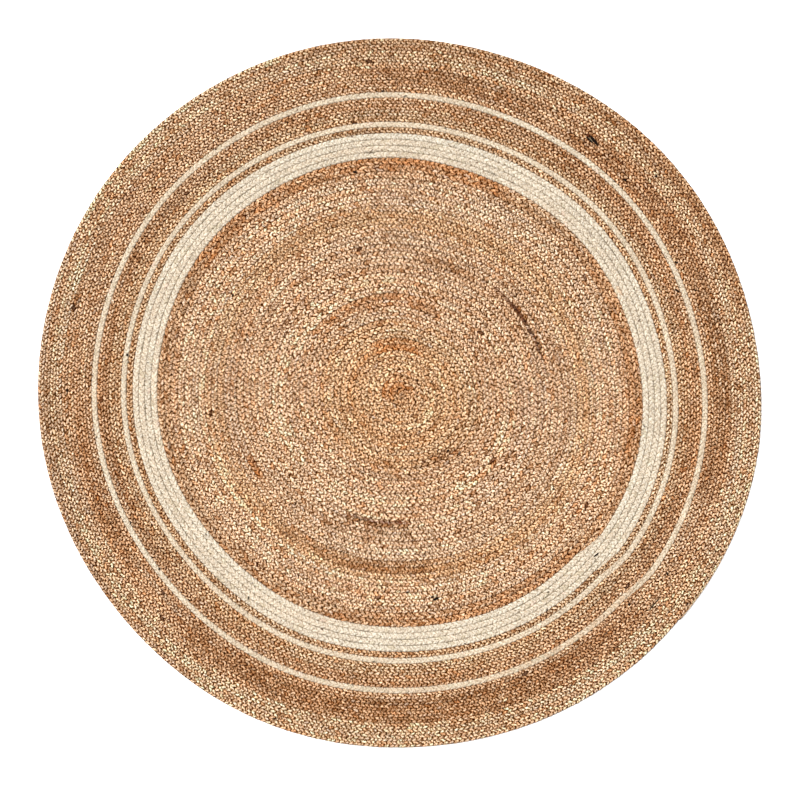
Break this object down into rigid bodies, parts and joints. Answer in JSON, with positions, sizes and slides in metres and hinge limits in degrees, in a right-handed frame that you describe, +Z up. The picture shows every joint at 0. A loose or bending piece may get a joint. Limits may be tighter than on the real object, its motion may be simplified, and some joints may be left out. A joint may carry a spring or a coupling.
{
  "type": "round braided jute rug",
  "caption": "Round flat rug of braided jute coiled from the middle and sewn edge to edge, tan with cream bands of bleached jute, lying flat on the floor.",
  "frame": {"origin": "on the floor under the middle of the rug's outline", "axes": "+Z up, out of the rug's top; +X and +Y lie in the floor, and the lengths of braid join at 321 degrees from +X towards +Y"},
  "size_m": [1.5126, 1.4832, 0.008],
  "materials": {
    "natural_jute": "dry, matt, coarse tan jute fibre in a flat three-strand braid",
    "bleached_jute": "dry, matt, bleached cream jute fibre in a flat three-strand braid"
  },
  "bodies": {
    "root": {"inner_field": "natural_jute", "wide_cream_band": "bleached_jute", "single_natural_row": "natural_jute", "inner_cream_row": "bleached_jute", "natural_band": "natural_jute", "outer_cream_row": "bleached_jute", "outer_border": "natural_jute"}
  },
  "joints": []
}
